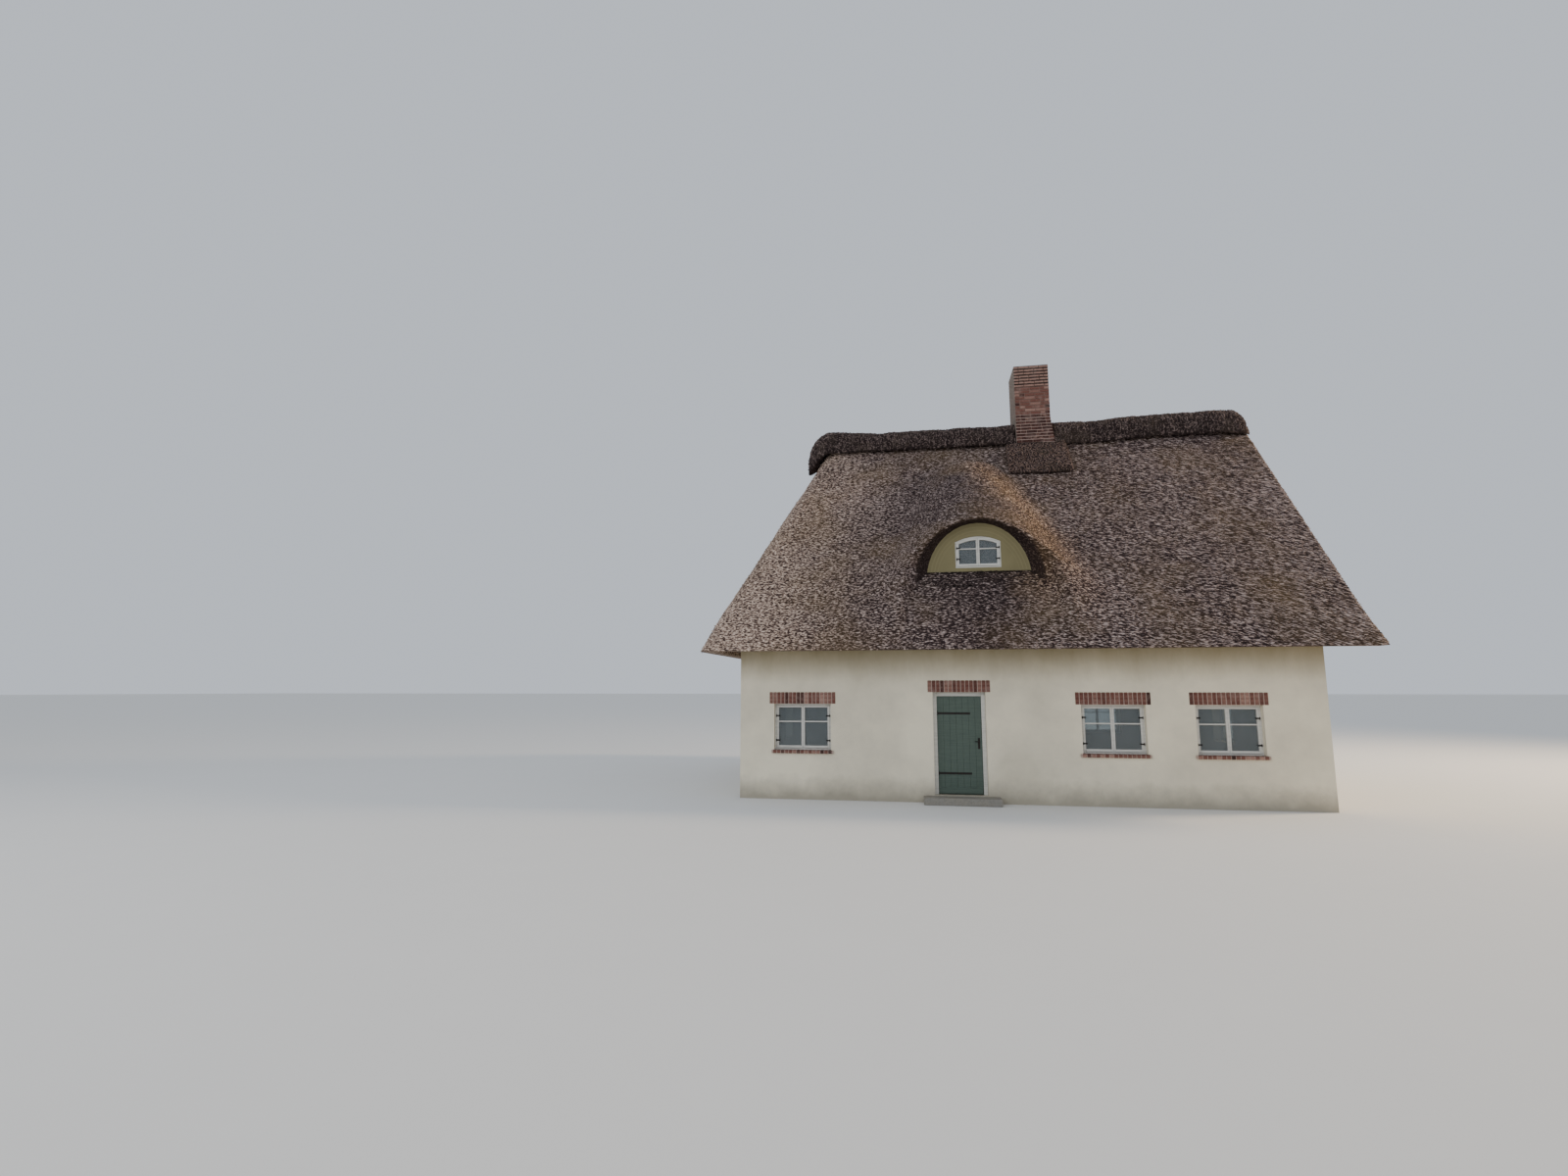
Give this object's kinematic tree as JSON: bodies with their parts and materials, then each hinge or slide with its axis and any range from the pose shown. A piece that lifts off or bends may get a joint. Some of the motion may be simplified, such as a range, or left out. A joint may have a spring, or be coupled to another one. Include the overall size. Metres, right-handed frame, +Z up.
{
  "type": "thatched cottage",
  "caption": "Cottage with rendered walls under a steep reed thatch, gabled at one end and hipped at the other, with an eyebrow dormer, a heather ridge and a square brick chimney.",
  "frame": {"origin": "on the ground, in the middle of the plan of the whole building, at the foot of the walls", "axes": "+X along the ridge towards the gabled end, +Y towards the back, +Z up; the front with the eyebrow dormer and the door faces -Y"},
  "size_m": [12.8, 9.74, 10.64],
  "materials": {
    "render": "rough cream-grey lime render over brick",
    "reed": "matt weathered grey-brown water reed",
    "heather": "matt dark heather, lumpy",
    "brick": "weathered red brick with lime mortar joints",
    "dormer_boarding": "matt olive-cream paint on boards",
    "timber": "sawn softwood, unpainted",
    "white_paint": "satin white paint on wood",
    "green_paint": "satin grey-green paint on boards",
    "window_glass": "clear float glass",
    "stone": "rough grey stone and concrete"
  },
  "bodies": {
    "root": {"back_soffit": "timber", "back_thatch": "reed", "back_wall": "render", "back_window_1_frame": "white_paint", "back_window_1_glass": "window_glass", "back_window_2_frame": "white_paint", "back_window_2_glass": "window_glass", "chimney_apron_back": "heather", "chimney_apron_front": "heather", "chimney_stack": "brick", "door_frame": "white_paint", "door_step": "stone", "dormer_header": "timber", "dormer_panel": "dormer_boarding", "dormer_window_frame": "white_paint", "dormer_window_glass": "window_glass", "floor_slab": "stone", "front_door": "green_paint", "front_soffit": "timber", "front_thatch": "reed", "front_wall": "render", "front_window_1_frame": "white_paint", "front_window_1_glass": "window_glass", "front_window_2_frame": "white_paint", "front_window_2_glass": "window_glass", "front_window_3_frame": "white_paint", "front_window_3_glass": "window_glass", "gable_window_ground_frame": "white_paint", "gable_window_ground_glass": "window_glass", "gable_window_loft_frame": "white_paint", "gable_window_loft_glass": "window_glass", "hip_frame": "timber", "left_hip_thatch": "reed", "left_soffit": "timber", "left_wall": "render", "left_window_frame": "white_paint", "left_window_glass": "window_glass", "loft_floor": "timber", "rafter_pair_1": "timber", "rafter_pair_2": "timber", "rafter_pair_3": "timber", "rafter_pair_4": "timber", "ridge_roll_left": "heather", "ridge_roll_right": "heather", "right_gable_wall": "render", "verge_collar": "timber", "verge_rafter_back": "timber", "verge_rafter_front": "timber", "wall_plate_back": "timber", "wall_plate_front": "timber"}
  },
  "joints": []
}
